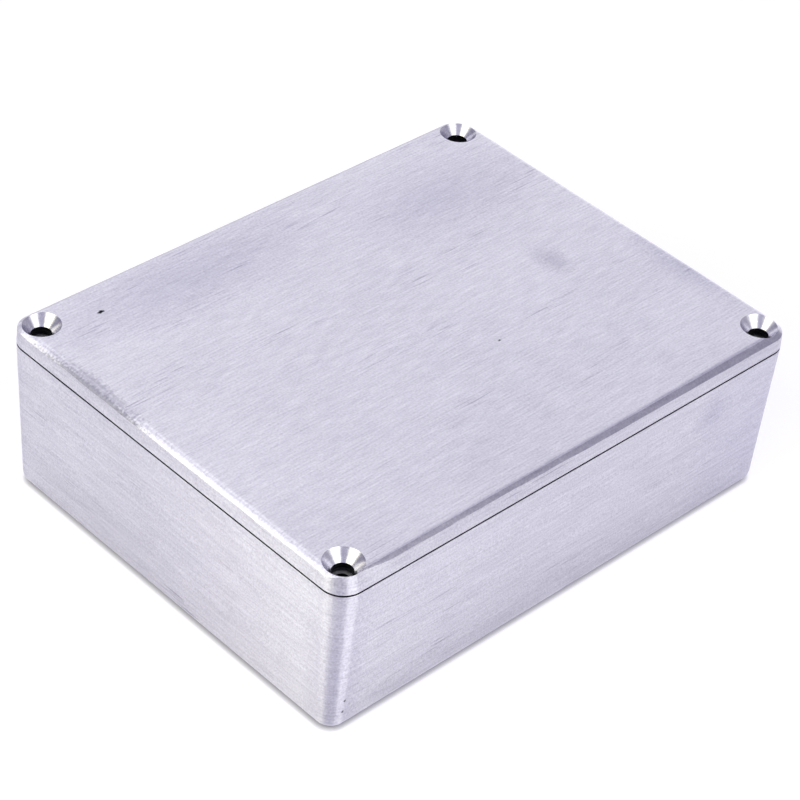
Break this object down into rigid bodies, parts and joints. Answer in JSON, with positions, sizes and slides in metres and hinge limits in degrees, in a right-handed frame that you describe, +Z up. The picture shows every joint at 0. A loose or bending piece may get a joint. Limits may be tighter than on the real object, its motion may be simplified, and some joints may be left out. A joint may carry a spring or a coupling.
{
  "type": "die cast aluminium box",
  "caption": "Rectangular die cast enclosure: a drafted tub with tapped corner posts, closed by a flat bevelled lid with countersunk screw holes in its corners.",
  "frame": {"origin": "middle of the underside, on the surface that the box stands on", "axes": "+X along the length, +Y across the width, +Z up out of the lid"},
  "size_m": [0.1194, 0.094, 0.038],
  "materials": {
    "cast_box": "linished, brushed along each side",
    "cast_lid": "linished, brushed along the length, with a cast bevel round the top"
  },
  "bodies": {
    "root": {"box_body": "cast_box", "lid": "cast_lid"}
  },
  "joints": []
}
